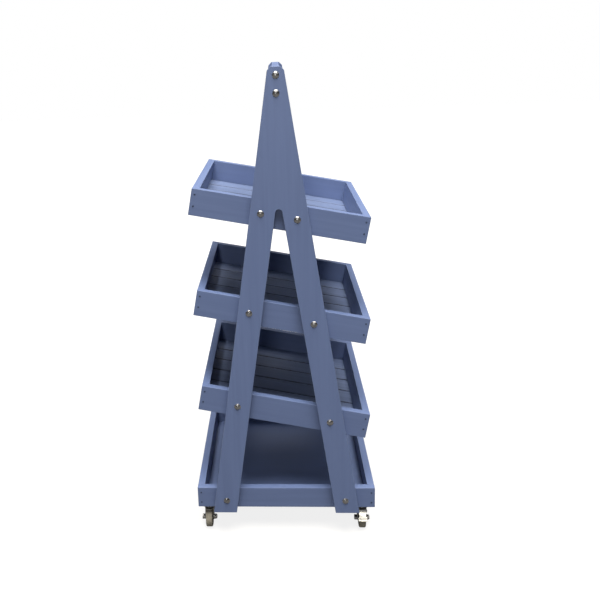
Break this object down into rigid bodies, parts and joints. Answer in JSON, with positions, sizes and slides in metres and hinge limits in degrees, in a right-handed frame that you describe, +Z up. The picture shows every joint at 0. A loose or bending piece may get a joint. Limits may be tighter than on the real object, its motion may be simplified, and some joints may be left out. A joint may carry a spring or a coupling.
{
  "type": "plant trolley",
  "caption": "Painted wooden plant trolley: A-shaped ends carry tilted display trays over a flat base tray on swivel castors.",
  "frame": {"origin": "on the floor under the middle of the trolley", "axes": "+Z up; +X towards the low display side of the trays; -Y towards the left end seen from the front"},
  "size_m": [0.45, 0.4932, 1.178],
  "materials": {
    "painted_wood": "satin",
    "bolt_steel": "satin",
    "zinc_steel": "satin",
    "nail_steel": "matte",
    "grey_rubber": "matte",
    "grey_plastic": "matte"
  },
  "bodies": {
    "frame": {"left_end_panel": "painted_wood", "right_end_panel": "painted_wood", "top_rail": "painted_wood", "top_tray_front_board": "painted_wood", "top_tray_back_board": "painted_wood", "top_tray_left_board": "painted_wood", "top_tray_right_board": "painted_wood", "top_tray_slats": "painted_wood", "middle_tray_front_board": "painted_wood", "middle_tray_back_board": "painted_wood", "middle_tray_left_board": "painted_wood", "middle_tray_right_board": "painted_wood", "middle_tray_slats": "painted_wood", "lower_tray_front_board": "painted_wood", "lower_tray_back_board": "painted_wood", "lower_tray_left_board": "painted_wood", "lower_tray_right_board": "painted_wood", "lower_tray_slats": "painted_wood", "base_front_board": "painted_wood", "base_back_board": "painted_wood", "base_left_board": "painted_wood", "base_right_board": "painted_wood", "base_floor": "painted_wood", "coach_bolts": "bolt_steel", "bolt_washers": "zinc_steel", "bolt_nuts": "zinc_steel", "rail_bolts": "bolt_steel", "rail_barrel_nuts": "zinc_steel", "board_nails": "nail_steel", "floor_nails": "nail_steel", "castor_screws": "zinc_steel", "castor_kingpins": "zinc_steel", "front_left_castor_plate": "zinc_steel", "front_right_castor_plate": "zinc_steel", "back_left_castor_plate": "zinc_steel", "back_right_castor_plate": "zinc_steel"},
    "front_left_castor": {"front_left_fork": "zinc_steel", "front_left_axle": "bolt_steel", "front_left_axle_nut": "zinc_steel", "front_left_brake_pin": "bolt_steel"},
    "front_left_wheel": {"front_left_hub": "grey_plastic", "front_left_tyre": "grey_rubber"},
    "front_left_brake": {"front_left_brake_pedal": "zinc_steel"},
    "front_right_castor": {"front_right_fork": "zinc_steel", "front_right_axle": "bolt_steel", "front_right_axle_nut": "zinc_steel", "front_right_brake_pin": "bolt_steel"},
    "front_right_wheel": {"front_right_hub": "grey_plastic", "front_right_tyre": "grey_rubber"},
    "front_right_brake": {"front_right_brake_pedal": "zinc_steel"},
    "back_left_castor": {"back_left_fork": "zinc_steel", "back_left_axle": "bolt_steel", "back_left_axle_nut": "zinc_steel"},
    "back_left_wheel": {"back_left_hub": "grey_plastic", "back_left_tyre": "grey_rubber"},
    "back_right_castor": {"back_right_fork": "zinc_steel", "back_right_axle": "bolt_steel", "back_right_axle_nut": "zinc_steel"},
    "back_right_wheel": {"back_right_hub": "grey_plastic", "back_right_tyre": "grey_rubber"}
  },
  "joints": [
    {"name": "front_left_swivel", "type": "hinge", "parent": "frame", "child": "front_left_castor", "pos_m": [0.195, -0.183, 0.055], "axis": [0, 0, 1], "continuous": true},
    {"name": "front_left_roll", "type": "hinge", "parent": "front_left_castor", "child": "front_left_wheel", "pos_m": [0.195, -0.198, 0.025], "axis": [1, 0, 0], "continuous": true},
    {"name": "front_left_brake_press", "type": "hinge", "parent": "front_left_castor", "child": "front_left_brake", "pos_m": [0.195, -0.20992, 0.05177], "axis": [1, 0, 0], "range_deg": [0, 7]},
    {"name": "front_right_swivel", "type": "hinge", "parent": "frame", "child": "front_right_castor", "pos_m": [0.195, 0.183, 0.055], "axis": [0, 0, 1], "continuous": true},
    {"name": "front_right_roll", "type": "hinge", "parent": "front_right_castor", "child": "front_right_wheel", "pos_m": [0.195, 0.168, 0.025], "axis": [1, 0, 0], "continuous": true},
    {"name": "front_right_brake_press", "type": "hinge", "parent": "front_right_castor", "child": "front_right_brake", "pos_m": [0.195, 0.15608, 0.05177], "axis": [1, 0, 0], "range_deg": [0, 7]},
    {"name": "back_left_swivel", "type": "hinge", "parent": "frame", "child": "back_left_castor", "pos_m": [-0.2, -0.183, 0.055], "axis": [0, 0, 1], "continuous": true},
    {"name": "back_left_roll", "type": "hinge", "parent": "back_left_castor", "child": "back_left_wheel", "pos_m": [-0.2, -0.198, 0.025], "axis": [1, 0, 0], "continuous": true},
    {"name": "back_right_swivel", "type": "hinge", "parent": "frame", "child": "back_right_castor", "pos_m": [-0.2, 0.183, 0.055], "axis": [0, 0, 1], "continuous": true},
    {"name": "back_right_roll", "type": "hinge", "parent": "back_right_castor", "child": "back_right_wheel", "pos_m": [-0.2, 0.168, 0.025], "axis": [1, 0, 0], "continuous": true}
  ]
}
